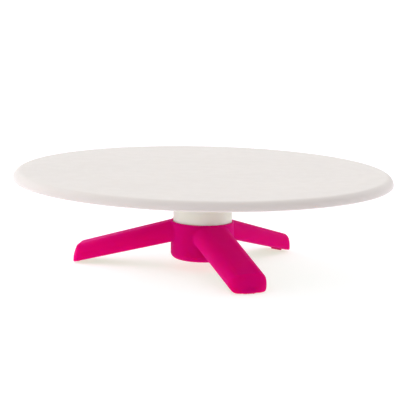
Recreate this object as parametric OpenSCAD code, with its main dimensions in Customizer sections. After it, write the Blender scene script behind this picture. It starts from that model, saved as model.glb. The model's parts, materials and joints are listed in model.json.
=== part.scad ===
// Cake turntable: a round plate on a short neck that spins on a low three-legged base.
// Millimetres. The origin is on the table under the spin axis, +Z is up and one leg points along -Y.

/* [Plate] */
// Diameter of the round plate
plate_d = 312; // [290:2:330]
// Height of the plate's top face above the table
top_z = 81; // [80.5:0.5:84]
// Radius of the rounded shoulder round the plate's edge
shoulder_r = 6.6; // [5.8:0.2:6.6]
// Height of the whole rim, from the top face to the bottom of the lip
rim_h = 7.4; // [7.4:0.2:10]
// Thickness of the plate's skin and lip
plate_skin = 3; // [2.6:0.2:3.4]
// Number of radial ribs under the plate
plate_ribs = 12; // [8:2:16]

/* [Legs] */
// Distance from the spin axis to the end of a leg
leg_reach = 107.3; // [102:0.1:112]
// Width of a leg
leg_w = 32; // [30:0.5:34]
// Radius of the rounded long edges along the top of a leg
leg_round = 11; // [9:0.5:12]
// Slope of the top of a leg, in degrees below the horizontal
leg_slope = 16.6; // [16:0.1:17]
// Upright height of a leg where it leaves the hub
leg_root_h = 17; // [15:0.5:18]
// Radius of a leg's end corners, seen from above
leg_corner_r = 8; // [6:0.5:10]
// Wall thickness of the leg and hub moulding
leg_wall = 2.2; // [1.8:0.1:2.8]

/* [Hub] */
// Outer diameter of the hub
hub_d = 52; // [51.6:0.2:53]
// Height of the hub's underside above the table
hub_bottom_z = 8; // [7.8:0.1:8.4]
// Height of the hub's upper lip above the table
hub_top_z = 39.5; // [39:0.5:40.5]
// Radius of the rounded bottom edge of the hub
hub_fillet = 5; // [3:0.5:6]

/* [Neck] */
// Outer diameter of the neck above the hub
neck_d = 48.6; // [48:0.1:48.8]
// Wall thickness of the neck
neck_wall = 2.5; // [2:0.1:3]
// Diameter of the flange that carries the plate
flange_d = 84; // [80:1:88]
// Number of gussets under the flange
flange_gussets = 8; // [4:4:12]

/* [Bearing] */
// Diameter of the bearing balls
ball_d = 5; // [4.8:0.1:5]
// Number of bearing balls
ball_count = 14; // [8:1:16]
// Diameter of the circle through the balls' centres
ball_circle_d = 35; // [34.6:0.1:35.4]

/* [Spindle] */
// Diameter of the spindle
spindle_d = 8; // [7.8:0.1:8]
// Radial running clearance between the spindle and its bushes
run_gap = 0.05; // [0.02:0.01:0.09]

/* [Hidden] */
$fn = 96;

MAGENTA = "#C4085F";
PEARL = "#E8E4E0";
CREAM = "#DAD6CA";
STEEL = "#B9BCC0";
DARK_STEEL = "#8D9196";
ACETAL = "#F2F1EC";
RUBBER = "#7E123F";

eps = 0.01;         // overlap that makes neighbouring shapes one solid
slip = 0.15;        // loose fit between pieces that are assembled by hand

// Plate
plate_r = plate_d / 2;
rim_z = top_z - rim_h;
skin_z = top_z - plate_skin;
lip_round = 0.7;
rib_t = 1.8;
rib_z = skin_z - 4;
rib_end_r = plate_r - shoulder_r + 1.5;
rib_rings = [74, 112];
seat_ring_r = flange_d / 2 - 0.5;
flange_top_z = skin_z - 5;

// Hub and legs
hub_r = hub_d / 2;
hub_lip_t = 1.3;
hub_lip_h = 1.6;
hub_lip_round = 0.45;
hub_bore_r = hub_r - 2.6;
hub_floor_z = hub_bottom_z + 2.6;
leg_angles = [-90, 30, 150];
leg_drop = 0.75;    // the leg's top starts this far under the hub's lip
leg_root_x = 18;
leg_top_root_z = hub_top_z - leg_drop;
leg_end_round = 3;
foot_lift = 0.65;   // gap between the leg's end and the table
leg_rib_t = 1.8;
leg_rib_lift = 3;
leg_rib_x = [48, 70];
foot_boss_x = leg_reach - 10.5;
foot_boss_w = 17;
foot_boss_z = 10.5;

// Foot pads
pad_l = 3.6;
pad_w = 10;
pad_h = 5;
pad_corner_r = 1.2;
pad_x = leg_reach - 3.4;
pad_bevel_l = 1.6;  // the pad's inner lower edge is cut back along the leg's underside
pad_bevel_h = 0.9;

// Centre of the hub: pedestal, spindle boss and head recess
pedestal_r = 14.2;
pedestal_z = 20;
recess_r = 10;
recess_z = 16;
boss_r = 8;
cap_r = 12;
cap_h = 1.2;
cap_spigot_r = 9.9;
cap_spigot_t = 1.5;
cap_spigot_h = 3.8;

// Bearing, from the bottom up
ball_r = ball_d / 2;
groove_r = ball_r + 0.1;
race_in_r = 14;
race_out_r = 21;
race_t = 1.5;
race_seat_z = 22;
ball_z = race_seat_z + 1 + ball_r;
upper_race_z = 2 * ball_z - race_seat_z - race_t;
cage_t = 2.4;
cage_in_r = 14.5;
cage_out_r = 20.5;
pocket_r = ball_r + 0.15;
race_wall_r = [pedestal_r - 0.5, 17];
race_stop_gap = 0.15;

// Neck
neck_r = neck_d / 2;
skirt_r = hub_bore_r - 0.5;
neck_step_z = hub_top_z - hub_lip_h + 0.5;
web_z = upper_race_z + race_t;
web_t = 3;
neck_boss_r = 9;
bush_out_r = 6;
bush_flange_r = 8;
bush_flange_t = 1.2;
neck_boss_top_z = 56;
neck_gusset_t = 1.8;
neck_gusset_count = 6;
flange_t = 3.5;
flange_z = flange_top_z - flange_t;
flange_gusset_z = 52;
register_t = 2;
register_r = neck_r - neck_wall - 0.3;
register_h = 8;

// Neck screws
screw_count = 4;
screw_circle_r = 34;
screw_r = 2;
screw_head_r = 3.8;
screw_head_h = 2.4;
screw_l = 8.5;
plate_boss_r = 4.5;

// Spindle stack, from the bottom up
spindle_r = spindle_d / 2;
bush_bore_r = spindle_r + run_gap;
bush_l = 10;
head_washer_t = 1.4;
head_h = 5.3;
hex_af = 13;
head_top_z = recess_z - head_washer_t;
washer_r = 8;
washer_bore_r = 4.2;
washer_t = 1.4;
stack_gap = 0.1;
top_washer_z = neck_boss_top_z + bush_flange_t + stack_gap;
spring_z = top_washer_z + washer_t;
spring_h = 1.3;
spring_t = 0.8;
nut_z = spring_z + spring_h;
nut_h = 8;
nylon_h = 2.2;
nylon_r = 5.4;
thread_r = spindle_r - 0.1;
thread_pitch = 1.25;
thread_depth = 0.6;
thread_z = neck_boss_top_z + bush_flange_t;
thread_turns = 10;
bolt_end_z = thread_z + thread_pitch * thread_turns;

// Height of the line along the top of a leg, at distance x from the spin axis
function leg_top_z(x) = leg_top_root_z - tan(leg_slope) * (x - hub_r);

// Height of the line along the bottom of a leg
function leg_bottom_z(x) =
    foot_lift + (leg_top_root_z - leg_root_h - foot_lift) * (leg_reach - x) / (leg_reach - hub_r);

// Ring with an upright wall
module ring(r_in, r_out, h) {
    difference() {
        cylinder(r = r_out, h = h);
        translate([0, 0, -1]) cylinder(r = r_in, h = h + 2);
    }
}

// Hexagon with its corners turned off at both ends, as on a bolt head or a nut
module hex_body(across_flats, h) {
    corner_r = across_flats / 2 / cos(30);
    turned_h = (corner_r - across_flats / 2) * 0.6;
    intersection() {
        cylinder(r = corner_r, h = h, $fn = 6);
        rotate_extrude()
            polygon([[0, 0], [across_flats / 2, 0], [corner_r, turned_h],
                     [corner_r, h - turned_h], [across_flats / 2, h], [0, h]]);
    }
}

// Leg seen from above, with its walls moved in by inset
module leg_plan(inset) {
    half_w = leg_w / 2 - inset;
    end_x = leg_reach - inset;
    corner_r = leg_corner_r - inset;
    translate([leg_root_x, -half_w]) square([end_x - corner_r - leg_root_x, 2 * half_w]);
    translate([leg_root_x, corner_r - half_w])
        square([end_x - leg_root_x, 2 * (half_w - corner_r)]);
    for (side = [-1, 1])
        translate([end_x - corner_r, side * (half_w - corner_r)]) circle(corner_r);
}

// Leg seen from its end: flat crown and fully rounded long edges
module leg_section(inset) {
    half_flat = leg_w / 2 - leg_round;
    round_r = leg_round - inset;
    translate([-half_flat, -leg_round - round_r]) square([2 * half_flat, 2 * round_r]);
    for (side = [-1, 1])
        translate([side * half_flat, -leg_round]) circle(round_r);
}

// Leg seen from its side; lift raises the lower line
module leg_side(inset, lift) {
    end_x = leg_reach - inset;
    round_r = leg_end_round - inset * 0.8;
    round_x = end_x - round_r;
    round_z = leg_top_z(round_x) - (inset + round_r) / cos(leg_slope);
    polygon([
        [leg_root_x, leg_bottom_z(leg_root_x) + lift],
        [end_x, leg_bottom_z(end_x) + lift],
        [end_x, round_z],
        [round_x, round_z],
        [round_x + round_r * sin(leg_slope), round_z + round_r * cos(leg_slope)],
        [leg_root_x, leg_top_z(leg_root_x) - inset / cos(leg_slope)]
    ]);
    translate([round_x, round_z]) circle(round_r);
}

// Solid leg along +X, its walls moved in by inset and its underside raised by lift
module leg_solid(inset, lift) {
    intersection() {
        linear_extrude(hub_top_z) leg_plan(inset);
        translate([hub_r, 0, leg_top_root_z])
            rotate([0, leg_slope, 0])
            rotate([90, 0, 90])
            translate([0, 0, -2 * leg_root_x]) linear_extrude(2 * leg_reach) leg_section(inset);
        rotate([90, 0, 0])
            translate([0, 0, -leg_w]) linear_extrude(2 * leg_w) leg_side(inset, lift);
    }
}

// Channel-shaped shell of one leg; its inner end is solid where the hub's wall passes through it
module leg_shell() {
    difference() {
        leg_solid(0, 0);
        difference() {
            leg_solid(leg_wall, -leg_root_h);
            cylinder(r = hub_r - leg_wall / 2, h = hub_top_z);
        }
    }
}

// Stiffening inside a leg: one long rib, two cross ribs and the block that holds the foot pad
module leg_inside() {
    intersection() {
        leg_solid(leg_wall - 0.3, leg_rib_lift);
        union() {
            translate([hub_r - 1, -leg_rib_t / 2, 0])
                cube([foot_boss_x - hub_r + 2, leg_rib_t, hub_top_z]);
            for (x = leg_rib_x)
                translate([x, -leg_w / 2, 0]) cube([leg_rib_t, leg_w, hub_top_z]);
        }
    }
    intersection() {
        leg_solid(leg_wall - 0.3, 0);
        translate([foot_boss_x, -foot_boss_w / 2, 0])
            cube([leg_reach - foot_boss_x, foot_boss_w, foot_boss_z]);
    }
}

// Foot pad's outline, grown by the fit that its pocket needs
module pad_outline(grow) {
    corner_r = pad_corner_r + grow;
    half_l = pad_l / 2 + grow;
    half_w = pad_w / 2 + grow;
    square([2 * half_l, 2 * (half_w - corner_r)], center = true);
    square([2 * (half_l - corner_r), 2 * half_w], center = true);
    for (x = [-1, 1], y = [-1, 1])
        translate([x * (half_l - corner_r), y * (half_w - corner_r)]) circle(corner_r);
}

// Outline of half the hub, for turning about the spin axis
module hub_profile() {
    translate([0, hub_bottom_z]) square([hub_r - hub_fillet, hub_top_z - hub_bottom_z]);
    translate([0, hub_bottom_z + hub_fillet])
        square([hub_r, hub_top_z - hub_lip_round - hub_bottom_z - hub_fillet]);
    translate([hub_r - hub_fillet, hub_bottom_z + hub_fillet]) circle(hub_fillet);
    translate([hub_r - hub_lip_round, hub_top_z - hub_lip_round]) circle(hub_lip_round);
}

// Seat in the hub for the lower race: a ring wall and ribs with a stop outside the race
module race_seat() {
    seat_h = race_seat_z - hub_floor_z + eps;
    translate([0, 0, hub_floor_z - eps]) ring(race_wall_r[0], race_wall_r[1], seat_h);
    for (a = [0:60:300]) rotate(a) {
        translate([pedestal_r - 1, -rib_t / 2, hub_floor_z - eps])
            cube([hub_bore_r - pedestal_r + 1.5, rib_t, seat_h]);
        translate([race_out_r + race_stop_gap, -rib_t / 2, hub_floor_z])
            cube([hub_bore_r - race_out_r, rib_t, seat_h + race_t]);
    }
}

// One-piece moulding: the hub cup with its pedestal and the three channel-shaped legs
module tripod_base() {
    color(MAGENTA) difference() {
        union() {
            difference() {
                union() {
                    rotate_extrude() hub_profile();
                    for (a = leg_angles) rotate(a) leg_shell();
                }
                translate([0, 0, hub_floor_z])
                    cylinder(r = hub_bore_r, h = hub_top_z);
                translate([0, 0, hub_top_z - hub_lip_h])
                    cylinder(r = hub_r - hub_lip_t, h = hub_top_z);
            }
            for (a = leg_angles) rotate(a) leg_inside();
            translate([0, 0, hub_floor_z - eps])
                cylinder(r = pedestal_r, h = pedestal_z - hub_floor_z);
            translate([0, 0, hub_floor_z])
                cylinder(r = boss_r, h = web_z - bush_flange_t - 0.5 - hub_floor_z);
            race_seat();
        }
        translate([0, 0, hub_bottom_z - 1]) cylinder(r = recess_r, h = recess_z - hub_bottom_z + 1);
        translate([0, 0, hub_bottom_z - 1]) cylinder(r = cap_r + slip, h = cap_h + 1);
        cylinder(r = spindle_r + 0.1, h = web_z);
        for (a = leg_angles) rotate(a)
            translate([pad_x, 0, 0]) linear_extrude(pad_h) pad_outline(slip);
    }
}

// Snap-in cap that closes the bolt head's recess under the hub
module hub_cap() {
    color(MAGENTA) translate([0, 0, hub_bottom_z]) {
        cylinder(r = cap_r, h = cap_h);
        translate([0, 0, cap_h - eps]) ring(cap_spigot_r - cap_spigot_t, cap_spigot_r, cap_spigot_h);
    }
}

// Foot pad seen from its side
module pad_side() {
    inner_x = -pad_l / 2;
    polygon([[inner_x, pad_h], [inner_x, pad_bevel_h], [inner_x + pad_bevel_l, 0],
             [pad_l / 2, 0], [pad_l / 2, pad_h]]);
}

// Rubber pad in the end of one leg
module foot_pad(angle) {
    color(RUBBER) rotate(angle) translate([pad_x, 0, 0]) intersection() {
        linear_extrude(pad_h) pad_outline(0);
        rotate([90, 0, 0]) translate([0, 0, -pad_w]) linear_extrude(2 * pad_w) pad_side();
    }
}

module foot_pad_front() {
    foot_pad(leg_angles[0]);
}

module foot_pad_right() {
    foot_pad(leg_angles[1]);
}

module foot_pad_left() {
    foot_pad(leg_angles[2]);
}

// Bolt that the neck turns on: hexagon head, plain shank and grooves for the thread
module spindle_bolt() {
    color(STEEL) {
        translate([0, 0, head_top_z - head_h]) hex_body(hex_af, head_h);
        translate([0, 0, head_top_z - eps]) cylinder(r = spindle_r, h = thread_z - head_top_z + eps);
        rotate_extrude()
            polygon(concat(
                [[0, thread_z - eps]],
                [for (i = [0:2 * thread_turns])
                    [thread_r - (i % 2) * thread_depth, thread_z + (i - eps) * thread_pitch / 2]],
                [[0, bolt_end_z - eps]]
            ));
    }
}

// Washer between the bolt's head and the hub
module head_washer() {
    color(STEEL) translate([0, 0, head_top_z])
        ring(washer_bore_r, recess_r - 1, head_washer_t);
}

// Flat pressed race with one ball groove; the groove is centred on the balls
module race(z) {
    rotate_extrude() difference() {
        translate([race_in_r, z]) square([race_out_r - race_in_r, race_t]);
        translate([ball_circle_d / 2, ball_z]) circle(groove_r);
    }
}

module lower_race() {
    color(DARK_STEEL) race(race_seat_z);
}

module upper_race() {
    color(DARK_STEEL) race(upper_race_z);
}

// Ring that keeps the balls evenly spaced
module ball_cage() {
    color(ACETAL) translate([0, 0, ball_z - cage_t / 2]) difference() {
        ring(cage_in_r, cage_out_r, cage_t);
        for (i = [0:ball_count - 1]) rotate(i * 360 / ball_count)
            translate([ball_circle_d / 2, 0, -1]) cylinder(r = pocket_r, h = cage_t + 2);
    }
}

module bearing_balls() {
    color(STEEL) for (i = [0:ball_count - 1]) rotate(i * 360 / ball_count)
        translate([ball_circle_d / 2, 0, ball_z]) sphere(ball_r);
}

// Flanged plain bush with its flange at the bottom
module flanged_bush() {
    difference() {
        union() {
            cylinder(r = bush_flange_r, h = bush_flange_t);
            cylinder(r = bush_out_r - 0.02, h = bush_flange_t + bush_l);
        }
        translate([0, 0, -1]) cylinder(r = bush_bore_r, h = bush_flange_t + bush_l + 2);
    }
}

module lower_bush() {
    color(ACETAL) translate([0, 0, web_z - bush_flange_t]) flanged_bush();
}

module upper_bush() {
    color(ACETAL) translate([0, 0, neck_boss_top_z + bush_flange_t]) mirror([0, 0, 1]) flanged_bush();
}

// Outline of half the neck's outer wall with its flange, for turning about the spin axis
module neck_wall_profile() {
    polygon([
        [skirt_r - neck_wall, web_z],
        [skirt_r, web_z],
        [skirt_r, neck_step_z],
        [neck_r, neck_step_z],
        [neck_r, flange_z],
        [flange_d / 2, flange_z],
        [flange_d / 2, flange_top_z],
        [neck_r - neck_wall, flange_top_z],
        [neck_r - neck_wall, neck_step_z + 2],
        [skirt_r - neck_wall, neck_step_z]
    ]);
}

// Neck: outer wall, web over the bearing, bush tube, gussets and the flange under the plate
module neck() {
    color(CREAM) difference() {
        union() {
            rotate_extrude() neck_wall_profile();
            translate([0, 0, web_z]) cylinder(r = skirt_r - 1, h = web_t);
            translate([0, 0, web_z]) cylinder(r = neck_boss_r, h = neck_boss_top_z - web_z);
            for (i = [0:neck_gusset_count - 1]) rotate((i + 0.5) * 360 / neck_gusset_count)
                rotate([90, 0, 0]) translate([0, 0, -neck_gusset_t / 2])
                linear_extrude(neck_gusset_t)
                polygon([[neck_boss_r - 1, web_z + 1], [skirt_r - 1, web_z + 1],
                         [skirt_r - 1, neck_step_z], [neck_boss_r - 1, neck_boss_top_z - 4]]);
            for (i = [0:flange_gussets - 1]) rotate((i + 0.5) * 360 / flange_gussets)
                rotate([90, 0, 0]) translate([0, 0, -neck_gusset_t / 2])
                linear_extrude(neck_gusset_t)
                polygon([[neck_r - 1, flange_gusset_z], [neck_r, flange_gusset_z],
                         [flange_d / 2 - 3, flange_z - 1], [flange_d / 2 - 3, flange_z + 1],
                         [neck_r - 1, flange_z + 1]]);
        }
        translate([0, 0, web_z - 1]) cylinder(r = bush_out_r, h = neck_boss_top_z);
        for (i = [0:screw_count - 1]) rotate(45 + i * 360 / screw_count)
            translate([screw_circle_r, 0, flange_z - 1])
            cylinder(r = screw_r + slip, h = flange_t + 2);
    }
}

// Pan-head screws that hold the plate on the flange
module neck_screws() {
    color(STEEL) for (i = [0:screw_count - 1]) rotate(45 + i * 360 / screw_count)
        translate([screw_circle_r, 0, flange_z]) difference() {
            union() {
                cylinder(r = screw_r, h = screw_l);
                translate([0, 0, -screw_head_h / 2]) cylinder(r = screw_head_r, h = screw_head_h / 2);
                translate([0, 0, -screw_head_h])
                    cylinder(r1 = screw_head_r * 0.7, r2 = screw_head_r, h = screw_head_h / 2);
            }
            for (a = [0, 90]) rotate(a)
                translate([-screw_head_r / 2, -0.4, -screw_head_h - 1])
                cube([screw_head_r, 0.8, 2.2]);
        }
}

// Outline of half the plate's skin and lip, for turning about the spin axis
module plate_profile() {
    shoulder_x = plate_r - shoulder_r;
    shoulder_z = top_z - shoulder_r;
    lip_z = rim_z + lip_round;
    difference() {
        union() {
            translate([0, shoulder_z]) square([shoulder_x, shoulder_r]);
            intersection() {
                translate([shoulder_x, shoulder_z]) circle(shoulder_r);
                translate([shoulder_x, shoulder_z]) square(shoulder_r);
            }
            translate([shoulder_x, lip_z]) square([shoulder_r, shoulder_z - lip_z]);
            translate([shoulder_x, rim_z]) square([shoulder_r - lip_round, lip_round]);
            translate([plate_r - lip_round, lip_z]) circle(lip_round);
        }
        translate([0, shoulder_z - eps]) square([shoulder_x, skin_z - shoulder_z + eps]);
        translate([0, rim_z - 1]) square([plate_r - plate_skin, shoulder_z - rim_z + 1]);
        translate([shoulder_x, shoulder_z]) circle(shoulder_r - plate_skin);
    }
}

// Ribs, rings and screw bosses under the plate
module plate_underside() {
    ring_t = rib_t;
    for (i = [0:plate_ribs - 1]) rotate((i + 0.5) * 360 / plate_ribs)
        translate([seat_ring_r - ring_t / 2, -rib_t / 2, rib_z])
        cube([rib_end_r - seat_ring_r + ring_t / 2, rib_t, skin_z - rib_z + 0.5]);
    for (r = rib_rings)
        translate([0, 0, rib_z]) ring(r - ring_t / 2, r + ring_t / 2, skin_z - rib_z + 1);
    translate([0, 0, flange_top_z])
        ring(seat_ring_r - ring_t, seat_ring_r, skin_z - flange_top_z + 1);
    translate([0, 0, skin_z - register_h])
        ring(register_r - register_t, register_r, register_h + 1);
    for (i = [0:screw_count - 1]) rotate(45 + i * 360 / screw_count)
        translate([screw_circle_r, 0, flange_top_z])
            cylinder(r = plate_boss_r, h = skin_z - flange_top_z + 1);
}

// Round plate: thin skin, rounded shoulder and lip, stiffened from below
module plate() {
    color(PEARL) difference() {
        union() {
            rotate_extrude($fn = 180) plate_profile();
            plate_underside();
        }
        for (i = [0:screw_count - 1]) rotate(45 + i * 360 / screw_count)
            translate([screw_circle_r, 0, flange_top_z - 1])
            cylinder(r = screw_r + 0.03, h = screw_l - flange_t + 1.5);
    }
}

module top_washer() {
    color(STEEL) translate([0, 0, top_washer_z]) ring(washer_bore_r, washer_r, washer_t);
}

// Conical spring washer that takes up the end play under the nut
module disc_spring() {
    color(DARK_STEEL) translate([0, 0, spring_z]) rotate_extrude()
        polygon([[washer_r - 0.2, 0], [washer_r - 0.2, spring_t],
                 [washer_bore_r, spring_h], [washer_bore_r, spring_h - spring_t]]);
}

module lock_nut() {
    color(STEEL) translate([0, 0, nut_z]) difference() {
        hex_body(hex_af, nut_h);
        translate([0, 0, -1]) cylinder(r = thread_r + 0.03, h = nut_h + 2);
        translate([0, 0, nut_h - nylon_h]) cylinder(r = nylon_r, h = nylon_h + 1);
    }
}

// Nylon insert that stops the nut from working loose
module nut_nylon_ring() {
    color("#2F5FA8") translate([0, 0, nut_z + nut_h - nylon_h])
        ring(thread_r + 0.03, nylon_r, nylon_h - 0.2);
}

tripod_base();
hub_cap();
foot_pad_front();
foot_pad_right();
foot_pad_left();
spindle_bolt();
head_washer();
lower_race();
ball_cage();
bearing_balls();
upper_race();
lower_bush();
upper_bush();
neck();
neck_screws();
plate();
top_washer();
disc_spring();
lock_nut();
nut_nylon_ring();
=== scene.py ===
"""Looks of the cake turntable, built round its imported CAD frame.

The moulded parts are fields: functions of x, y and z in millimetres that are negative inside the
part, and surface_net() turns each into a mesh. The plate is turned from a profile instead. The
last argument of smooth_union() and smooth_cut() is the size of the fillet, in millimetres.
"""
import json
import math

import bpy
import numpy as np
from mathutils import Matrix, Vector


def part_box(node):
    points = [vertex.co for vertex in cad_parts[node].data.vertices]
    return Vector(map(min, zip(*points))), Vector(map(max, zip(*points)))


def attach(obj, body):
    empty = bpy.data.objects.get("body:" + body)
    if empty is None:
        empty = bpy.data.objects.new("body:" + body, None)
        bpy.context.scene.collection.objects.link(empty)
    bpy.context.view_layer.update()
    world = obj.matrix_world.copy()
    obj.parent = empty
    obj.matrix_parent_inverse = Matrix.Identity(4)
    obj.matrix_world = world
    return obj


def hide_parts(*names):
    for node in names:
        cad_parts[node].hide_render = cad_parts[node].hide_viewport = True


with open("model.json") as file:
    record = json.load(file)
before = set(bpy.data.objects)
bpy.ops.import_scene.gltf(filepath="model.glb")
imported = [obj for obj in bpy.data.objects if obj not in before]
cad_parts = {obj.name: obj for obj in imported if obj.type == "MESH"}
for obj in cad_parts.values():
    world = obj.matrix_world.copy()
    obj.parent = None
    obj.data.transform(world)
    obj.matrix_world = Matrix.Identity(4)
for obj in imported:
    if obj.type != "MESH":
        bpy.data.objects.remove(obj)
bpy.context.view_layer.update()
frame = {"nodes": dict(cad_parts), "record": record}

MM = 0.001

# --- Camera: the photograph's viewing angle ---
CAMERA_TARGET = Vector((0, 0, 0.040))
CAMERA_DISTANCE = 1.3576
CAMERA_AZIMUTH = -20.95
CAMERA_ELEVATION = 10.23
CAMERA_ROLL = 1.24
CAMERA_LENS = 147.6
CAMERA_SHIFT = (-0.0065, 0.0488)

# --- Plate: sizes in millimetres here and below, as in the CAD source ---
TOP_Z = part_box("plate")[1].z / MM
PLATE_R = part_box("plate")[1].x / MM
SHOULDER_R = 6.6
RIM_Z = TOP_Z - 7.4
SKIN = 3.0
SKIN_Z = TOP_Z - SKIN
LIP_ROUND = 0.7
RIB_H = 4.0
RIB_END_R = PLATE_R - SHOULDER_R + 1.5
RIB_RINGS = (74.0, 112.0)
PLATE_RIBS = 12
SEAT_RING = (39.7, 41.5)       # inner and outer radius of the ring round the neck's flange
REGISTER_RING = (19.5, 21.5)   # and of the ring inside the neck
REGISTER_H = 8.0

# --- Hub of the base ---
HUB_R = 26.0
HUB_BOTTOM_Z = 8.0
HUB_TOP_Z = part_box("tripod_base")[1].z / MM
HUB_FILLET = 5.0
HUB_BORE_R = HUB_R - 2.6
HUB_FLOOR_Z = HUB_BOTTOM_Z + 2.6
HUB_LIP_T = 1.3
HUB_LIP_H = 1.6
PEDESTAL_R = 14.2
PEDESTAL_TOP_Z = 20.0
RACE_SEAT = (13.7, 17.0)       # inner and outer radius of the lower race's seat
RACE_SEAT_TOP_Z = 22.0
SPINDLE_BOSS_R = 8.0
SPINDLE_BOSS_TOP_Z = 27.3
SPINDLE_HOLE_R = 4.1
RECESS_R = 10.0
RECESS_Z = 16.0

# --- Legs ---
LEG_REACH = 107.3
LEG_HALF_W = 16.0
LEG_SHOULDER_R = 11.0
LEG_SLOPE = math.radians(16.6)
LEG_TOP_ROOT_Z = HUB_TOP_Z - 0.75
LEG_ROOT_H = 17.0
LEG_CORNER_R = 8.0
LEG_WALL = 2.2
FOOT_LIFT = 0.65
LEG_ANGLES = (-90, 30, 150)
LEG_TIP_LEAN = 3.2             # how far the top of a leg's end leans back from its foot
LEG_TIP_LEAN_H = 10.9          # height over which it leans
LEG_TIP_LEAN_CURVE = 1.8       # 1 is a straight lean; more leaves the foot upright
LEG_EDGE_ROUND = 0.05
LEG_TIP_ROUND = 1.1            # how much rounder a leg's edges are at its end
LEG_TIP_ROUND_FROM = 16.0      # they start to grow rounder this far from the end
LEG_TIP_ROUND_L = 10.0         # and do so over this length
LEG_BELLY_H = 5.0              # a leg is widest this far above its lower edge
LEG_BELLY_R = 6.4
LEG_UNDERSIDE_COS = 0.965      # cosine of the underside's slope, which turns heights into distances
LEG_RIB_X = (48.9, 70.9)
LEG_RIB_HALF_T = 0.9
LEG_RIB_LIFT = 3.0             # the ribs end this far above a leg's lower edge
FOOT_BOSS_L = 10.5
FOOT_BOSS_HALF_W = 8.5
FOOT_BOSS_TOP_Z = 10.5

# --- Foot pads and hub cap ---
PAD_X = LEG_REACH - 3.4
PAD_HALF = (1.8, 5.0)          # half length and half width
PAD_CORNER = 1.2
PAD_H = 5.0
PAD_BEVEL_L = 1.6
PAD_BEVEL_H = 0.9
PAD_BEVEL_COS = 0.87
PAD_POCKET_GAP = 0.2
PAD_GROOVE_PITCH = 2.0
PAD_GROOVE_R = 0.45
CAP_R = 12.0
CAP_T = 1.2
CAP_GAP = 0.25
CAP_DISH_R = 8.5
CAP_DISH_H = 0.35
CAP_SPIGOT = (8.4, 9.9)        # inner and outer radius
CAP_SPIGOT_H = 5.0
CAP_SLOT_HALF = (2.5, 0.9)
CAP_SLOT_H = 0.8

# --- Neck ---
NECK_R = 24.3
NECK_WALL = 2.5
SKIRT_R = HUB_BORE_R - 0.5
NECK_STEP_Z = HUB_TOP_Z - HUB_LIP_H + 0.5
WEB_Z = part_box("neck")[0].z / MM
WEB_T = 3.0
BUSH_TUBE_R = 9.0
BUSH_TUBE_TOP_Z = 56.0
BUSH_BORE_R = 6.0
FLANGE_R = 42.0
FLANGE_TOP_Z = SKIN_Z - 5
FLANGE_Z = FLANGE_TOP_Z - 3.5
FLANGE_GUSSETS = 8
GUSSET_HALF_T = 0.9
GUSSET_LOW_Z = 52.0
GUSSET_SLANT = (0.74, 0.67)    # outward and downward parts of the slanted edge's normal

# --- Neck screws ---
SCREW_COUNT = 4
SCREW_CIRCLE_R = 34.0
SCREW_HOLE_R = 2.15
SCREW_HEAD_R = 3.8
SCREW_HEAD_H = 2.4
SCREW_DOME_R = 4.6
SCREW_SHANK_R = 1.75
SCREW_SHANK_L = 8.2
SCREW_THREAD_R = 2.0
SCREW_THREAD_PITCH = 1.4
SCREW_CROSS_HALF = (2.2, 0.45)
SCREW_CROSS_H = 1.2


# ---------------------------------------------------------------- mesh tools

def mesh_object(name, points_mm, faces):
    """Object from points in millimetres, smooth shaded."""
    mesh = bpy.data.meshes.new(name)
    mesh.from_pydata((np.asarray(points_mm) * MM).tolist(), [], faces)
    mesh.validate()
    mesh.polygons.foreach_set("use_smooth", np.ones(len(mesh.polygons), bool))
    mesh.update()
    obj = bpy.data.objects.new(name, mesh)
    bpy.context.scene.collection.objects.link(obj)
    return obj


def edge_sum(quads, points):
    """For each point, the sum of its neighbours along the quads' edges, and how many there are."""
    total = np.zeros_like(points)
    count = np.zeros(len(points))
    for i in range(4):
        a = quads[:, i]
        b = quads[:, (i + 1) % 4]
        for axis in range(3):
            total[:, axis] += np.bincount(a, points[b, axis], len(points))
            total[:, axis] += np.bincount(b, points[a, axis], len(points))
        count += np.bincount(a, minlength=len(points)) + np.bincount(b, minlength=len(points))
    return total, count


def gradient(field, points, h):
    """Gradient of the field at the points, by central differences."""
    columns = []
    for axis in range(3):
        step = np.zeros(3)
        step[axis] = h
        ahead = field(*(points + step).T)
        behind = field(*(points - step).T)
        columns.append((ahead - behind) / (2 * h))
    return np.stack(columns, axis=1)


def settle(field, points, step, rounds=4):
    """Moves points onto the surface where the field is 0."""
    for _ in range(rounds):
        slope = gradient(field, points, step * 0.1)
        length_2 = np.maximum((slope ** 2).sum(axis=1), 0.05)
        move = -(field(*points.T) / length_2)[:, None] * slope
        size = np.linalg.norm(move, axis=1)
        points = points + move * np.minimum(1, 0.5 * step / np.maximum(size, 1e-9))[:, None]
    return points


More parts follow.
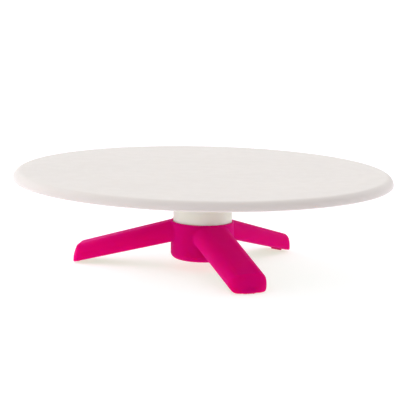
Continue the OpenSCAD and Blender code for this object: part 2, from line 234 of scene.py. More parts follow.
def surface_net(name, field, low, high, step, relax=3):
    """Closed quad mesh of the surface where field(x, y, z) is 0."""
    axes = [np.arange(a - step, b + 2 * step, step) for a, b in zip(low, high)]
    grid = np.meshgrid(*axes, indexing="ij")
    value = field(*grid)
    inside = value < 0
    corners = [(i, j, k) for i in (0, 1) for j in (0, 1) for k in (0, 1)]
    cells = tuple(n - 1 for n in value.shape)
    filled = sum(inside[i:i + cells[0], j:j + cells[1], k:k + cells[2]].astype(np.int8)
                 for i, j, k in corners)
    active = np.argwhere((filled > 0) & (filled < 8))
    number = np.full(cells, -1, np.int64)
    number[tuple(active.T)] = np.arange(len(active))

    total = np.zeros((len(active), 3))
    hits = np.zeros(len(active))
    for a in corners:
        for axis in range(3):
            if a[axis]:
                continue
            b = tuple(a[i] + (i == axis) for i in range(3))
            va = value[tuple((active + a).T)]
            vb = value[tuple((active + b).T)]
            cross = (va < 0) != (vb < 0)
            share = np.where(cross, va / np.where(cross, va - vb, 1), 0)
            place = np.array(a, float) + share[:, None] * (np.array(b) - np.array(a))
            total += np.where(cross[:, None], place, 0)
            hits += cross
    origin = np.array([axis[0] for axis in axes])
    points = origin + step * (active + total / hits[:, None])

    quads = []
    for axis in range(3):
        u, v = (axis + 1) % 3, (axis + 2) % 3
        ahead = [slice(None)] * 3
        behind = [slice(None)] * 3
        ahead[axis] = slice(1, None)
        behind[axis] = slice(None, -1)
        start_in = inside[tuple(behind)]
        changed = np.argwhere(start_in != inside[tuple(ahead)])
        ring = []
        for du, dv in ((-1, -1), (0, -1), (0, 0), (-1, 0)):
            cell = changed.copy()
            cell[:, u] += du
            cell[:, v] += dv
            ring.append(number[tuple(cell.T)])
        ring = np.stack(ring, axis=1)
        outward = start_in[tuple(changed.T)]
        quads.append(np.where(outward[:, None], ring, ring[:, ::-1]))
    quads = np.concatenate(quads)

    points = settle(field, points, step)
    for _ in range(relax):
        total, count = edge_sum(quads, points)
        normal = gradient(field, points, step * 0.1)
        normal /= np.maximum(np.linalg.norm(normal, axis=1), 1e-9)[:, None]
        pull = 0.5 * (total / count[:, None] - points)
        pull -= (pull * normal).sum(axis=1)[:, None] * normal
        points = settle(field, points + pull, step, rounds=2)
    return mesh_object(name, points, quads.tolist())


# ------------------------------------------------------------- solid fields

def smooth_union(a, b, k):
    """Union of two fields with a fillet of about k."""
    h = np.clip(0.5 + 0.5 * (b - a) / k, 0, 1)
    return b + (a - b) * h - k * h * (1 - h)


def smooth_cut(a, b, k):
    """Intersection of two fields with its edge rounded by about k."""
    return -smooth_union(-a, -b, k)


def rect(x, y, half_x, half_y, corner):
    """Field of a rectangle centred on the origin with round corners."""
    dx = np.abs(x) - (half_x - corner)
    dy = np.abs(y) - (half_y - corner)
    outside = np.hypot(np.maximum(dx, 0), np.maximum(dy, 0))
    return outside + np.minimum(np.maximum(dx, dy), 0) - corner


def band(value, low, high):
    """Field of the slab between two values."""
    return np.abs(value - (low + high) / 2) - (high - low) / 2


def tube(rho, z, inner, outer, low, high, corner=0.4):
    """Field of a turned ring with a rectangular section."""
    return rect(rho - (inner + outer) / 2, z - (low + high) / 2,
                (outer - inner) / 2, (high - low) / 2, corner)


def disc(rho, z, radius, low, high, corner=0.4):
    """Field of a turned disc or boss."""
    return tube(rho, z, -radius, radius, low, high, corner)


def fold(x, y, count, phase):
    """Coordinates along and across the nearest of count evenly spaced arms."""
    turn = 2 * math.pi / count
    rho = np.hypot(x, y)
    angle = np.arctan2(y, x) - math.radians(phase)
    angle -= turn * np.round(angle / turn)
    return rho * np.cos(angle), rho * np.sin(angle)


# --------------------------------------------------------------- tripod base

def leg_top_z(x):
    return LEG_TOP_ROOT_Z - math.tan(LEG_SLOPE) * (x - HUB_R)


def leg_bottom_z(x):
    root_z = LEG_TOP_ROOT_Z - LEG_ROOT_H
    return FOOT_LIFT + (root_z - FOOT_LIFT) * (LEG_REACH - x) / (LEG_REACH - HUB_R)


def round_corner(dx, dz, radius):
    """Field of a corner of this radius; dx and dz are measured from the middle of its arc."""
    outside = np.hypot(np.maximum(dx, 0), np.maximum(dz, 0))
    return outside + np.minimum(np.maximum(dx, dz), 0) - radius


def leg_section(along, across, depth):
    """Field of a leg cut across: wide soft shoulders above, a tighter belly curve below.
    It stays open below, where the underside cuts it off."""
    wide_depth = (leg_top_z(along) - leg_bottom_z(along)) * math.cos(LEG_SLOPE) - LEG_BELLY_H
    shoulder_r = np.minimum(wide_depth, LEG_SHOULDER_R)
    shoulder = round_corner(np.abs(across) - (LEG_HALF_W - shoulder_r), shoulder_r - depth,
                            shoulder_r)
    below = np.clip(depth - wide_depth, 0, LEG_BELLY_H)
    belly_half_w = LEG_HALF_W - LEG_BELLY_R + np.sqrt(LEG_BELLY_R ** 2 - below ** 2)
    return np.where(depth < wide_depth, shoulder, np.abs(across) - belly_half_w)


def leg_shell_form(along, across, z, inset):
    """Field of a leg's rounded form without its underside, its walls moved in by inset."""
    depth = (leg_top_z(along) - z) * math.cos(LEG_SLOPE)
    section = leg_section(along, across, depth)
    raised = np.clip(LEG_TIP_LEAN_H - depth, 0, LEG_TIP_LEAN_H) / LEG_TIP_LEAN_H
    lean = LEG_TIP_LEAN * raised ** LEG_TIP_LEAN_CURVE
    plan = rect(along + lean, across, LEG_REACH, LEG_HALF_W, LEG_CORNER_R)
    near_tip = np.clip((along - LEG_REACH + LEG_TIP_ROUND_FROM) / LEG_TIP_ROUND_L, 0, 1)
    rounding = LEG_EDGE_ROUND + LEG_TIP_ROUND * near_tip ** 2
    return smooth_cut(section, plan, rounding) + inset


def base_field(x, y, z):
    """Field of the one-piece base moulding."""
    rho = np.hypot(x, y)
    along, across = fold(x, y, len(LEG_ANGLES), LEG_ANGLES[0])

    leg = leg_shell_form(along, across, z, 0)
    underside = (leg_bottom_z(along) - z) * LEG_UNDERSIDE_COS
    solid_leg = smooth_cut(leg, underside, 1.2)
    inner = leg_shell_form(along, across, z, LEG_WALL)
    hollow = smooth_cut(inner, HUB_R - LEG_WALL / 2 - rho, 0.8)
    shell = smooth_cut(solid_leg, -hollow, 0.7)

    boss_x = LEG_REACH - FOOT_BOSS_L
    rib = np.abs(across) - LEG_RIB_HALF_T
    for rib_x in LEG_RIB_X:
        rib = np.minimum(rib, np.abs(along - rib_x) - LEG_RIB_HALF_T)
    rib_zone = np.maximum(leg + LEG_WALL - 0.4, underside + LEG_RIB_LIFT)
    rib_zone = np.maximum(rib_zone, band(along, HUB_R - 1, boss_x + 1))
    rib = smooth_cut(rib, rib_zone, 0.5)
    boss = rect(along - boss_x - FOOT_BOSS_L / 2, across, FOOT_BOSS_L / 2, FOOT_BOSS_HALF_W, 1.5)
    boss = np.maximum(boss, z - FOOT_BOSS_TOP_Z)
    boss = np.maximum(boss, np.maximum(leg + 0.8, underside + 0.1))
    shell = smooth_union(shell, np.minimum(rib, boss), 0.8)

    outer_hub = smooth_cut(rho - HUB_R, z - HUB_TOP_Z, 0.9)
    foot_fillet = round_corner(rho - (HUB_R - HUB_FILLET), HUB_BOTTOM_Z + HUB_FILLET - z,
                               HUB_FILLET)
    outer_hub = np.maximum(outer_hub, foot_fillet)
    body = smooth_union(shell, outer_hub, 1.6)
    body = smooth_cut(body, z - HUB_TOP_Z, 0.6)

    bore = np.maximum(rho - HUB_BORE_R, HUB_FLOOR_Z - z)
    bore = np.minimum(bore, np.maximum(rho - (HUB_R - HUB_LIP_T), HUB_TOP_Z - HUB_LIP_H - z))
    body = smooth_cut(body, -bore, 0.5)

    pedestal = disc(rho, z, PEDESTAL_R, HUB_FLOOR_Z - 1, PEDESTAL_TOP_Z, 0.5)
    spindle_boss = disc(rho, z, SPINDLE_BOSS_R, HUB_FLOOR_Z, SPINDLE_BOSS_TOP_Z, 0.5)
    seat = tube(rho, z, *RACE_SEAT, HUB_FLOOR_Z - 1, RACE_SEAT_TOP_Z, 0.3)
    body = np.minimum(body, smooth_union(np.minimum(pedestal, seat), spindle_boss, 0.8))

    bolt_recess = np.maximum(rho - RECESS_R, z - RECESS_Z)
    cap_recess = np.maximum(rho - CAP_R - CAP_GAP, z - HUB_BOTTOM_Z - CAP_T)
    pad_pocket = rect(along - PAD_X, across, PAD_HALF[0] + PAD_POCKET_GAP,
                      PAD_HALF[1] + PAD_POCKET_GAP, PAD_CORNER + PAD_POCKET_GAP)
    recess = np.minimum(np.minimum(bolt_recess, cap_recess), rho - SPINDLE_HOLE_R)
    recess = np.minimum(recess, np.maximum(pad_pocket, z - PAD_H))
    return smooth_cut(body, -recess, 0.35)


def make_tripod_base():
    low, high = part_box("tripod_base")
    step = 0.7
    obj = surface_net("tripod_base_moulding", base_field, low / MM, high / MM, step)
    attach(obj, "base")
    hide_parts("tripod_base")
    return obj


# --------------------------------------------------------- cap, pads, screws

def cap_field(x, y, z):
    """Field of the snap-in cap: a disc with a pry slot and its spigot."""
    rho = np.hypot(x, y)
    cover = disc(rho, z, CAP_R, HUB_BOTTOM_Z, HUB_BOTTOM_Z + CAP_T, 0.3)
    spigot = tube(rho, z, *CAP_SPIGOT, HUB_BOTTOM_Z + 0.8, HUB_BOTTOM_Z + CAP_SPIGOT_H, 0.4)
    body = smooth_union(cover, spigot, 0.4)
    dish = np.maximum(rho - CAP_DISH_R, z - HUB_BOTTOM_Z - CAP_DISH_H)
    slot = np.maximum(rect(x, y + CAP_R, *CAP_SLOT_HALF, 0.4), z - HUB_BOTTOM_Z - CAP_SLOT_H)
    return smooth_cut(body, -np.minimum(dish, slot), 0.3)


def make_hub_cap():
    low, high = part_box("hub_cap")
    obj = surface_net("hub_cap_moulding", cap_field, low / MM, high / MM, 0.4)
    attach(obj, "base")
    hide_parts("hub_cap")
    return obj


def pad_field(x, y, z):
    """Field of a foot pad at the origin: a rounded block, bevelled towards the hub, with grip
    grooves under it."""
    block = smooth_cut(rect(x, y, PAD_HALF[0], PAD_HALF[1], PAD_CORNER), band(z, 0, PAD_H), 0.4)
    bevel_z = (PAD_BEVEL_L - (x + PAD_HALF[0])) * PAD_BEVEL_H / PAD_BEVEL_L
    block = smooth_cut(block, (bevel_z - z) * PAD_BEVEL_COS, 0.2)
    nearest = y - PAD_GROOVE_PITCH * np.round(np.clip(y / PAD_GROOVE_PITCH, -2, 2))
    groove = np.hypot(nearest, z) - PAD_GROOVE_R
    return np.maximum(block, -groove)


def make_foot_pads():
    pads = []
    names = ("foot_pad_front", "foot_pad_right", "foot_pad_left")
    low = (-PAD_HALF[0], -PAD_HALF[1], 0)
    high = (*PAD_HALF, PAD_H)
    for name, angle in zip(names, LEG_ANGLES):
        obj = surface_net(name + "_rubber", pad_field, low, high, 0.22)
        place = Matrix.Rotation(math.radians(angle), 4, "Z") @ Matrix.Translation((PAD_X * MM, 0, 0))
        obj.data.transform(place)
        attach(obj, "base")
        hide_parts(name)
        pads.append(obj)
    return pads


def screw_field(x, y, z):
    """Field of one pan-head screw pointing up, its bearing face at z = 0."""
    rho = np.hypot(x, y)
    dome = np.sqrt(rho ** 2 + ((z - 1.4) * 1.2) ** 2) - SCREW_DOME_R
    head = smooth_cut(dome, rho - SCREW_HEAD_R, 0.5)
    head = smooth_cut(head, band(z, -SCREW_HEAD_H, 0), 0.4)
    shank = np.maximum(rho - SCREW_SHANK_R, band(z, -1, SCREW_SHANK_L))
    from_crest = np.abs(z - np.round(z / SCREW_THREAD_PITCH) * SCREW_THREAD_PITCH)
    thread = np.maximum(from_crest * 1.2 + rho - SCREW_THREAD_R, band(z, 1, SCREW_SHANK_L - 0.2))
    cross_l, cross_w = SCREW_CROSS_HALF
    cross = np.minimum(rect(x, y, cross_l, cross_w, 0.1), rect(x, y, cross_w, cross_l, 0.1))
    cross = np.maximum(cross, z + SCREW_CROSS_H - 0.3 * (cross_l - rho))
    return np.maximum(np.minimum(np.minimum(head, shank), thread), -cross)


def make_neck_screws():
    low = (-SCREW_HEAD_R, -SCREW_HEAD_R, -SCREW_HEAD_H)
    high = (SCREW_HEAD_R, SCREW_HEAD_R, SCREW_SHANK_L + 0.3)
    one = surface_net("neck_screws_zinc", screw_field, low, high, 0.25)
    points = np.array([v.co for v in one.data.vertices]) / MM
    faces = [list(p.vertices) for p in one.data.polygons]
    bpy.data.objects.remove(one)
    all_points, all_faces = [], []
    for i in range(SCREW_COUNT):
        turn = Matrix.Rotation(2 * math.pi * (i + 0.5) / SCREW_COUNT, 3, "Z")
        placed = (points + (SCREW_CIRCLE_R, 0, FLANGE_Z)) @ np.array(turn).T
        all_faces += [[v + len(points) * i for v in f] for f in faces]
        all_points.append(placed)
    obj = mesh_object("neck_screws_zinc", np.concatenate(all_points), all_faces)
    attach(obj, "turntable")
    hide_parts("neck_screws")
    return obj


# ----------------------------------------------------------------------- neck

def neck_field(x, y, z):
    """Field of the neck: wall, web, bush tube, gussets and the flange with its screw holes."""
    rho = np.hypot(x, y)
    wall = tube(rho, z, NECK_R - NECK_WALL, NECK_R, NECK_STEP_Z, FLANGE_TOP_Z + 2, 0.3)
    skirt = tube(rho, z, SKIRT_R - NECK_WALL, SKIRT_R, WEB_Z, NECK_STEP_Z + 2, 0.3)
    web = disc(rho, z, SKIRT_R - 1, WEB_Z, WEB_Z + WEB_T, 0.2)
    bush_tube = disc(rho, z, BUSH_TUBE_R, WEB_Z, BUSH_TUBE_TOP_Z)
    body = smooth_union(np.minimum(wall, skirt), smooth_union(web, bush_tube, 1.0), 0.8)

    flange = tube(rho, z, NECK_R - NECK_WALL, FLANGE_R, FLANGE_Z, FLANGE_TOP_Z + 2, 0.5)
    along, across = fold(x, y, FLANGE_GUSSETS, 180 / FLANGE_GUSSETS)
    slant = (along - NECK_R) * GUSSET_SLANT[0] - (z - GUSSET_LOW_Z) * GUSSET_SLANT[1]
    gusset = np.maximum(np.abs(across) - GUSSET_HALF_T, slant)
    gusset = np.maximum(gusset, band(along, NECK_R - 1, FLANGE_R - 3))
    gusset = np.maximum(gusset, band(z, GUSSET_LOW_Z, FLANGE_TOP_Z - 1))
    body = smooth_union(body, smooth_union(flange, gusset, 1.0), 1.2)

    body = smooth_cut(body, z - FLANGE_TOP_Z, 0.4)
    body = np.maximum(body, WEB_Z - z)
    along, across = fold(x, y, SCREW_COUNT, 180 / SCREW_COUNT)
    screw_hole = np.hypot(along - SCREW_CIRCLE_R, across) - SCREW_HOLE_R
    return np.maximum(body, -np.minimum(screw_hole, rho - BUSH_BORE_R))


def make_neck():
    low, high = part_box("neck")
    step = 0.6
    obj = surface_net("neck_moulding", neck_field, low / MM, high / MM, step)
    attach(obj, "turntable")
    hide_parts("neck")
    return obj


# ---------------------------------------------------------------------- plate

RIB_SECTION = ((0.0, 1.0), (0.55, 1.0), (0.76, 0.98), (0.86, 0.9), (0.98, 0.22), (1.12, 0.1),
               (1.5, 0.02), (2.1, 0.0))      # offset from the rib's middle, share of its height
TOP_RINGS = (4, 20, 45, 70, 95, 120, 138, 145)     # radii of the mesh's rings on the flat top
UNDER_RINGS = (146, 138, 130, 122)                 # and under it, outside the ring ribs
CELL_STEPS = (9, 17, 25)                           # how far inside each ring rib the next ones lie


def rib_share(offset):
    return np.interp(np.abs(offset), [p[0] for p in RIB_SECTION], [p[1] for p in RIB_SECTION])


def arc(center_r, center_z, radius, start, end, steps):
    """Points (radius, z) along an arc. The angles are in degrees."""
    angles = np.radians(np.linspace(start, end, steps + 1))
    return [(center_r + radius * math.cos(a), center_z + radius * math.sin(a)) for a in angles]


def plate_rim_profile():
    """The plate's outline from the middle of its top, over the rim, to the cove inside the lip."""
    shoulder_r = PLATE_R - SHOULDER_R
    shoulder_z = TOP_Z - SHOULDER_R
    profile = [(r, TOP_Z) for r in TOP_RINGS]
    profile += arc(shoulder_r, shoulder_z, SHOULDER_R, 90, 0, 16)
    profile += arc(PLATE_R - LIP_ROUND, RIM_Z + LIP_ROUND, LIP_ROUND, 0, -90, 4)
    profile += arc(PLATE_R - SKIN + LIP_ROUND, RIM_Z + LIP_ROUND, LIP_ROUND, -90, -180, 4)
    profile += arc(shoulder_r, shoulder_z, SHOULDER_R - SKIN, 0, 90, 10)
    return profile


def ring_profile(inner, outer, low_z):
    """Outline of a ring that hangs from the skin, from its outer side to its inner side."""
    outer_side = [(outer + 0.5, SKIN_Z), (outer + 0.1, SKIN_Z - 0.3), (outer, low_z + 0.3),
                  (outer - 0.2, low_z)]
    inner_side = [(inner + 0.2, low_z), (inner, low_z + 0.3), (inner - 0.1, SKIN_Z - 0.3),
                  (inner - 0.5, SKIN_Z)]
    return outer_side + inner_side


def plate_under_profile():
    """The underside's outline from the cove to the middle, without the ribs."""
    stations = [RIB_END_R + 0.3, RIB_END_R, RIB_END_R - 0.4, *UNDER_RINGS]
    offsets = [p[0] for p in RIB_SECTION]
    for ring_r in reversed(RIB_RINGS):
        stations += [ring_r + d for d in reversed(offsets)] + [ring_r - d for d in offsets[1:]]
        stations += [ring_r - step for step in CELL_STEPS if ring_r - step > SEAT_RING[1] + 3]
    stations = sorted({round(r, 3) for r in stations}, reverse=True)
    profile = [(r, SKIN_Z) for r in stations if r < PLATE_R - SHOULDER_R - 0.2]
    profile += ring_profile(*SEAT_RING, FLANGE_TOP_Z)
    profile += ring_profile(*REGISTER_RING, SKIN_Z - REGISTER_H)
    return profile + [(12, SKIN_Z), (4, SKIN_Z)]


def plate_columns(radius):
    """Angles of the mesh columns at this radius: close together beside each rib, even between them."""
    offsets = [p[0] for p in RIB_SECTION]
    reach = np.arcsin(np.array(offsets) / max(radius, SEAT_RING[1]))
    sector = 2 * math.pi / PLATE_RIBS
    middle = np.linspace(reach[-1], sector - reach[-1], 20)[1:-1]
    one = np.concatenate([reach, middle, sector - reach[:0:-1]])
    return np.concatenate([one + sector * (i + 0.5) for i in range(PLATE_RIBS)])


def rib_heights(radius, angles):
    """Height of the radial and ring ribs at this radius, for each angle."""
    height = np.zeros(len(angles))
    if SEAT_RING[1] + 0.6 < radius < RIB_END_R + 0.35:
        sector = 2 * math.pi / PLATE_RIBS
        turned = angles - sector / 2
        turned -= sector * np.round(turned / sector)
        radial = rib_share(radius * np.sin(turned)) * float(radius < RIB_END_R + 0.05)
        ring = max(float(rib_share(radius - ring_r)) for ring_r in RIB_RINGS)
        height = np.maximum(radial, ring) * RIB_H
    return height


def make_plate():
    rim = plate_rim_profile()
    profile = rim + plate_under_profile()
    under_from = len(rim) - 4      # the ribs run out in the last points of the cove
    rows = []
    for i, (radius, z) in enumerate(profile):
        angles = plate_columns(radius)
        level = np.full(len(angles), z)
        if i >= under_from:
            level = np.minimum(z, SKIN_Z - rib_heights(radius, angles))
        rows.append(np.stack([radius * np.cos(angles), radius * np.sin(angles), level], axis=1))
    columns = len(rows[0])
    points = np.concatenate(rows + [np.array([[0, 0, TOP_Z], [0, 0, SKIN_Z]])])
    top_pole, under_pole = len(points) - 2, len(points) - 1
    faces = []
    for i in range(len(rows) - 1):
        here, below = i * columns, (i + 1) * columns
        for j in range(columns):
            k = (j + 1) % columns
            faces.append([here + j, below + j, below + k, here + k])
    last = (len(rows) - 1) * columns
    for j in range(columns):
        k = (j + 1) % columns
        faces.append([top_pole, j, k])
        faces.append([under_pole, last + k, last + j])
    obj = mesh_object("plate_moulding", points, faces)
    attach(obj, "turntable")
    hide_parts("plate")
    return obj


# ------------------------------------------------------------------ materials

class Nodes:
    """Short way to build a node tree."""

    def __init__(self, material):
        material.use_nodes = True
        self.tree = material.node_tree
        self.tree.nodes.clear()
        self.out = self.tree.nodes.new("ShaderNodeOutputMaterial")

    def add(self, kind, inputs=None, **settings):
        node = self.tree.nodes.new("ShaderNode" + kind)
        for key, value in settings.items():
            setattr(node, key, value)
        for key, value in (inputs or {}).items():
            if isinstance(value, bpy.types.NodeSocket):
                self.tree.links.new(value, node.inputs[key])
            else:
                node.inputs[key].default_value = value
        return node

    def noise(self, vector, scale, detail=3.0, roughness=0.5):
        node = self.add("TexNoise", {"Vector": vector, "Scale": scale, "Detail": detail,
                                     "Roughness": roughness})
        return node.outputs["Fac"]

    def span(self, value, from_low, from_high, to_low, to_high):
        node = self.add("MapRange", {"Value": value, "From Min": from_low, "From Max": from_high,
                                     "To Min": to_low, "To Max": to_high})
        return node.outputs["Result"]

    def math(self, operation, a, b):
        return self.add("Math", {0: a, 1: b}, operation=operation).outputs[0]

    def mix(self, share, a, b):
        node = self.add("Mix", {"Factor": share, "A": a, "B": b}, data_type="RGBA")
        return node.outputs["Result"]


def rgb(r, g, b):
    return (r, g, b, 1.0)


def shade(color, factor):
    return rgb(*(min(1.0, c * factor) for c in color[:3]))


def moulded_plastic(name, color, roughness, grain, mottle=0.04, specular=0.5, scuff=0.0,
                    depth_mm=(0, 0, 0)):
    """Moulded plastic: faint flow mottling, uneven gloss, fine tool grain and lighter worn edges.
    Light sinks in by depth_mm, given for red, green and blue."""
    material = bpy.data.materials.new(name)
    n = Nodes(material)
    place = n.add("TexCoord").outputs["Object"]
    broad = n.noise(place, 14, 2)
    streaks = n.noise(n.add("Mapping", {"Vector": place, "Scale": (1, 1, 4)}).outputs[0], 90, 4)
    fine = n.noise(place, 1400, 2)
    base = n.mix(n.span(broad, 0.3, 0.7, 0, 1), shade(color, 1 - mottle), shade(color, 1 + mottle))
    base = n.mix(n.span(streaks, 0.35, 0.75, 0, 0.35), base, shade(color, 1 - 1.5 * mottle))
    edge = n.add("NewGeometry").outputs["Pointiness"]
    worn = n.span(edge, 0.53, 0.62, 0, 0.25)
    base = n.mix(worn, base, rgb(*(0.75 * c + 0.25 for c in color[:3])))
    gloss = n.math("ADD", n.span(streaks, 0.3, 0.7, roughness - 0.05, roughness + 0.05),
                   n.span(fine, 0.3, 0.7, -0.03, 0.03))
    height = n.math("ADD", n.math("MULTIPLY", fine, 0.6), n.math("MULTIPLY", streaks, 0.4))
    if scuff:
        gloss = n.math("ADD", gloss, n.math("MULTIPLY", polar_scuffs(n, place), scuff))
    bump = n.add("Bump", {"Strength": grain, "Distance": 0.0002, "Height": height})
    shader = n.add("BsdfPrincipled", {"Base Color": base, "Roughness": gloss,
                                      "Normal": bump.outputs[0]})
    shader.inputs["IOR"].default_value = 1.49
    shader.inputs["Specular IOR Level"].default_value = specular
    shader.inputs["Subsurface Weight"].default_value = float(max(depth_mm) > 0)
    shader.inputs["Subsurface Radius"].default_value = depth_mm
    shader.inputs["Subsurface Scale"].default_value = MM
    n.tree.links.new(shader.outputs[0], n.out.inputs["Surface"])
    return material


def polar_scuffs(n, place):
    """Fine concentric wear on the plate: noise drawn out round the spin axis."""
    parts = n.add("SeparateXYZ", {"Vector": place}).outputs
    flat = n.add("CombineXYZ", {"X": parts["X"], "Y": parts["Y"]}).outputs[0]
    rho = n.add("VectorMath", {0: flat}, operation="LENGTH").outputs["Value"]
    turn = n.add("VectorMath", {0: flat}, operation="NORMALIZE").outputs["Vector"]
    turn = n.add("VectorMath", {0: turn, "Scale": 0.6}, operation="SCALE").outputs["Vector"]
    ring = n.add("CombineXYZ", {"Z": n.math("MULTIPLY", rho, 420.0)}).outputs[0]
    ring = n.add("VectorMath", {0: turn, 1: ring}, operation="ADD").outputs["Vector"]
    return n.span(n.noise(ring, 1.0, 2), 0.3, 0.8, 0, 1)


def metal(name, color, roughness, turned=0.15):
    """Machined or plated metal: turned rings, cloudy plating and tiny pits."""
    material = bpy.data.materials.new(name)
    n = Nodes(material)
    place = n.add("TexCoord").outputs["Object"]
    clouds = n.noise(place, 120, 3)
    lines = n.noise(n.add("Mapping", {"Vector": place, "Scale": (1, 1, 30)}).outputs[0], 200, 2)
    pits = n.noise(place, 2500, 2)
    base = n.mix(n.span(clouds, 0.3, 0.7, 0, 1), shade(color, 0.85), shade(color, 1.08))
    gloss = n.math("ADD", n.span(lines, 0.3, 0.7, roughness - 0.06, roughness + 0.08),
                   n.span(pits, 0.4, 0.8, 0, 0.08))
    height = n.math("ADD", n.math("MULTIPLY", lines, turned), n.math("MULTIPLY", pits, 0.1))
    bump = n.add("Bump", {"Strength": 0.3, "Distance": 0.0002, "Height": height})
    shader = n.add("BsdfPrincipled", {"Base Color": base, "Roughness": gloss,
                                      "Normal": bump.outputs[0]})
    shader.inputs["Metallic"].default_value = 1.0
    n.tree.links.new(shader.outputs[0], n.out.inputs["Surface"])
    return material


def rubber(name, color):
    """Soft matt rubber with a dusty bloom and a fine pebbled skin."""
    material = bpy.data.materials.new(name)
    n = Nodes(material)
    place = n.add("TexCoord").outputs["Object"]
    bloom = n.noise(place, 300, 4)
    pebble = n.add("TexVoronoi", {"Vector": place, "Scale": 2200.0}).outputs["Distance"]
    base = n.mix(n.span(bloom, 0.4, 0.75, 0, 0.5), color, shade(color, 1.6))
    bump = n.add("Bump", {"Strength": 0.35, "Distance": 0.0002, "Height": pebble})
    gloss = n.span(bloom, 0.3, 0.7, 0.75, 0.92)
    shader = n.add("BsdfPrincipled", {"Base Color": base, "Roughness": gloss,
                                      "Normal": bump.outputs[0]})
    n.tree.links.new(shader.outputs[0], n.out.inputs["Surface"])
    return material


def paint(obj, material):
    obj.data.materials.clear()
    obj.data.materials.append(material)


MAGENTA = rgb(0.68, 0.001, 0.17)
PEARL = rgb(0.686, 0.648, 0.628)
CREAM = rgb(0.845, 0.86, 0.77)

materials = {
    "magenta_plastic": moulded_plastic("magenta_plastic", MAGENTA, 0.5, 0.10, mottle=0.04, specular=0.01,
                                       depth_mm=(7.0, 0.8, 1.8)),
    "pearl_plastic": moulded_plastic("pearl_plastic", PEARL, 0.34, 0.08, mottle=0.012, specular=0.06,
                                     scuff=0.06, depth_mm=(1.5, 1.4, 1.3)),
    "cream_plastic": moulded_plastic("cream_plastic", CREAM, 0.5, 0.08, mottle=0.02, specular=0.3,
                                     depth_mm=(1.5, 1.4, 1.2)),
    "foot_rubber": rubber("foot_rubber", rgb(0.62, 0.002, 0.15)),
    "zinc_steel": metal("zinc_steel", rgb(0.62, 0.63, 0.65), 0.35),
    "race_steel": metal("race_steel", rgb(0.42, 0.43, 0.45), 0.28, turned=0.35),
    "ball_steel": metal("ball_steel", rgb(0.75, 0.76, 0.78), 0.12, turned=0.02),
    "acetal": moulded_plastic("acetal", rgb(0.86, 0.86, 0.82), 0.4, 0.05, mottle=0.02),
    "nylon": moulded_plastic("nylon", rgb(0.03, 0.11, 0.42), 0.45, 0.05),
}

paint(make_tripod_base(), materials["magenta_plastic"])
paint(make_hub_cap(), materials["magenta_plastic"])
for pad in make_foot_pads():
    paint(pad, materials["foot_rubber"])
paint(make_plate(), materials["pearl_plastic"])
paint(make_neck(), materials["cream_plastic"])
paint(make_neck_screws(), materials["zinc_steel"])

slots = {row["node"]: row["material_slot"] for row in frame["record"]["subparts"]}
for node_name, node in frame["nodes"].items():
    paint(node, materials[slots[node_name]])


# --------------------------------------------------------------- studio stage

FLOOR_HALF = 9.0
FLOOR_GLOW = rgb(0.51, 0.685, 0.555)      # light that the table itself gives off
FLOOR_COLOR = rgb(0.69, 0.47, 0.66)
SOFTBOX_CORE = 0.3           # share of a softbox's half angle where it is evenly bright


def make_floor():
    """White light-table floor: it glows a little, so shadows on it stay faint and warm."""
    corners = [(-1, -1, 0), (1, -1, 0), (1, 1, 0), (-1, 1, 0)]
    floor = mesh_object("floor", np.array(corners) * FLOOR_HALF / MM, [[0, 1, 2, 3]])
    material = bpy.data.materials.new("floor")
    n = Nodes(material)
    diffuse = n.add("BsdfDiffuse", {"Color": FLOOR_COLOR})
    glow = n.add("Emission", {"Color": FLOOR_GLOW, "Strength": 1.0})
    both = n.add("AddShader", {0: diffuse.outputs[0], 1: glow.outputs[0]})
    below = n.add("NewGeometry").outputs["Backfacing"]
    one_sided = n.add("MixShader", {0: below, 1: both.outputs[0],
                                    2: n.add("BsdfTransparent").outputs[0]})
    n.tree.links.new(one_sided.outputs[0], n.out.inputs["Surface"])
    paint(floor, material)


AMBIENT = 0.40
SOFTBOXES = {          # azimuth counted from the camera to its right, elevation, half angle, strength
    "strip_left_front": (315, 5, 26, 0.45),
    "strip_right_front": (45, 5, 26, 0.9),
    "strip_right": (90, 5, 26, 0.6),
    "strip_right_back": (135, 5, 26, 1.1),
    "fill_right_back": (120, 32, 40, 0.65),
    "backdrop": (180, 32, 40, 0.8),
    "key_left_back": (240, 32, 40, 1.7),
    "fill_left_front": (300, 32, 40, 1.3),
    "overhead": (0, 90, 65, 0.2),
}


def direction_from_camera(azimuth, elevation):
    """Unit vector towards an azimuth counted from the camera's, to its right."""
    a = math.radians(CAMERA_AZIMUTH + azimuth)
    e = math.radians(elevation)
    return Vector((math.sin(a) * math.cos(e), -math.cos(a) * math.cos(e), math.sin(e)))


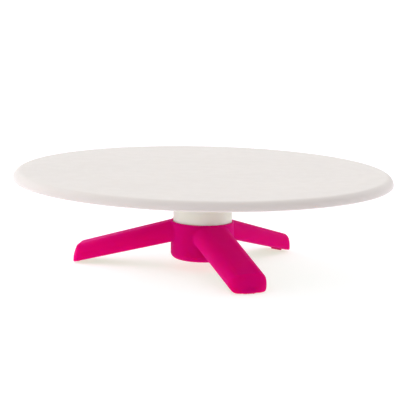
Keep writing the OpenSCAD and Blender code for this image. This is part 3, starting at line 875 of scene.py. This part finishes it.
def make_world():
    """Dim room with large softboxes: soft-edged bright patches of the sky."""
    world = bpy.data.worlds.new("studio")
    bpy.context.scene.world = world
    world.use_nodes = True
    tree = world.node_tree
    tree.nodes.clear()

    def add(kind, name, operation=None):
        node = tree.nodes.new("ShaderNode" + kind)
        node.name = name
        if operation:
            node.operation = operation
        return node

    direction = add("TexCoord", "direction").outputs["Generated"]
    total = add("Value", "ambient").outputs[0]
    total.default_value = AMBIENT
    for name, (azimuth, elevation, half_angle, strength) in SOFTBOXES.items():
        dot = add("VectorMath", name + "_dot", "DOT_PRODUCT")
        dot.inputs[1].default_value = direction_from_camera(azimuth, elevation)
        tree.links.new(direction, dot.inputs[0])
        patch = add("MapRange", name)
        patch.interpolation_type = "SMOOTHSTEP"
        patch.inputs["From Min"].default_value = math.cos(math.radians(half_angle))
        patch.inputs["From Max"].default_value = math.cos(math.radians(half_angle * SOFTBOX_CORE))
        patch.inputs["To Max"].default_value = strength
        tree.links.new(dot.outputs["Value"], patch.inputs["Value"])
        summed = add("Math", name + "_sum", "ADD")
        tree.links.new(total, summed.inputs[0])
        tree.links.new(patch.outputs[0], summed.inputs[1])
        total = summed.outputs[0]
    background = add("Background", "background")
    background.inputs["Color"].default_value = rgb(1.0, 0.995, 0.985)
    tree.links.new(total, background.inputs["Strength"])
    out = add("OutputWorld", "out")
    tree.links.new(background.outputs[0], out.inputs["Surface"])


def make_camera():
    back = direction_from_camera(0, CAMERA_ELEVATION)
    data = bpy.data.cameras.new("camera")
    data.lens = CAMERA_LENS
    data.sensor_width = 36.0
    data.shift_x, data.shift_y = CAMERA_SHIFT
    data.clip_start = 0.05
    data.clip_end = 50
    camera = bpy.data.objects.new("camera", data)
    camera.location = CAMERA_TARGET + back * CAMERA_DISTANCE
    camera.rotation_mode = "QUATERNION"
    level = (-back).to_track_quat("-Z", "Y")
    roll = Matrix.Rotation(math.radians(CAMERA_ROLL), 3, "Z").to_quaternion()
    camera.rotation_quaternion = level @ roll
    bpy.context.scene.collection.objects.link(camera)
    bpy.context.scene.camera = camera


make_floor()
make_world()
make_camera()
bpy.context.scene.view_settings.view_transform = "Standard"
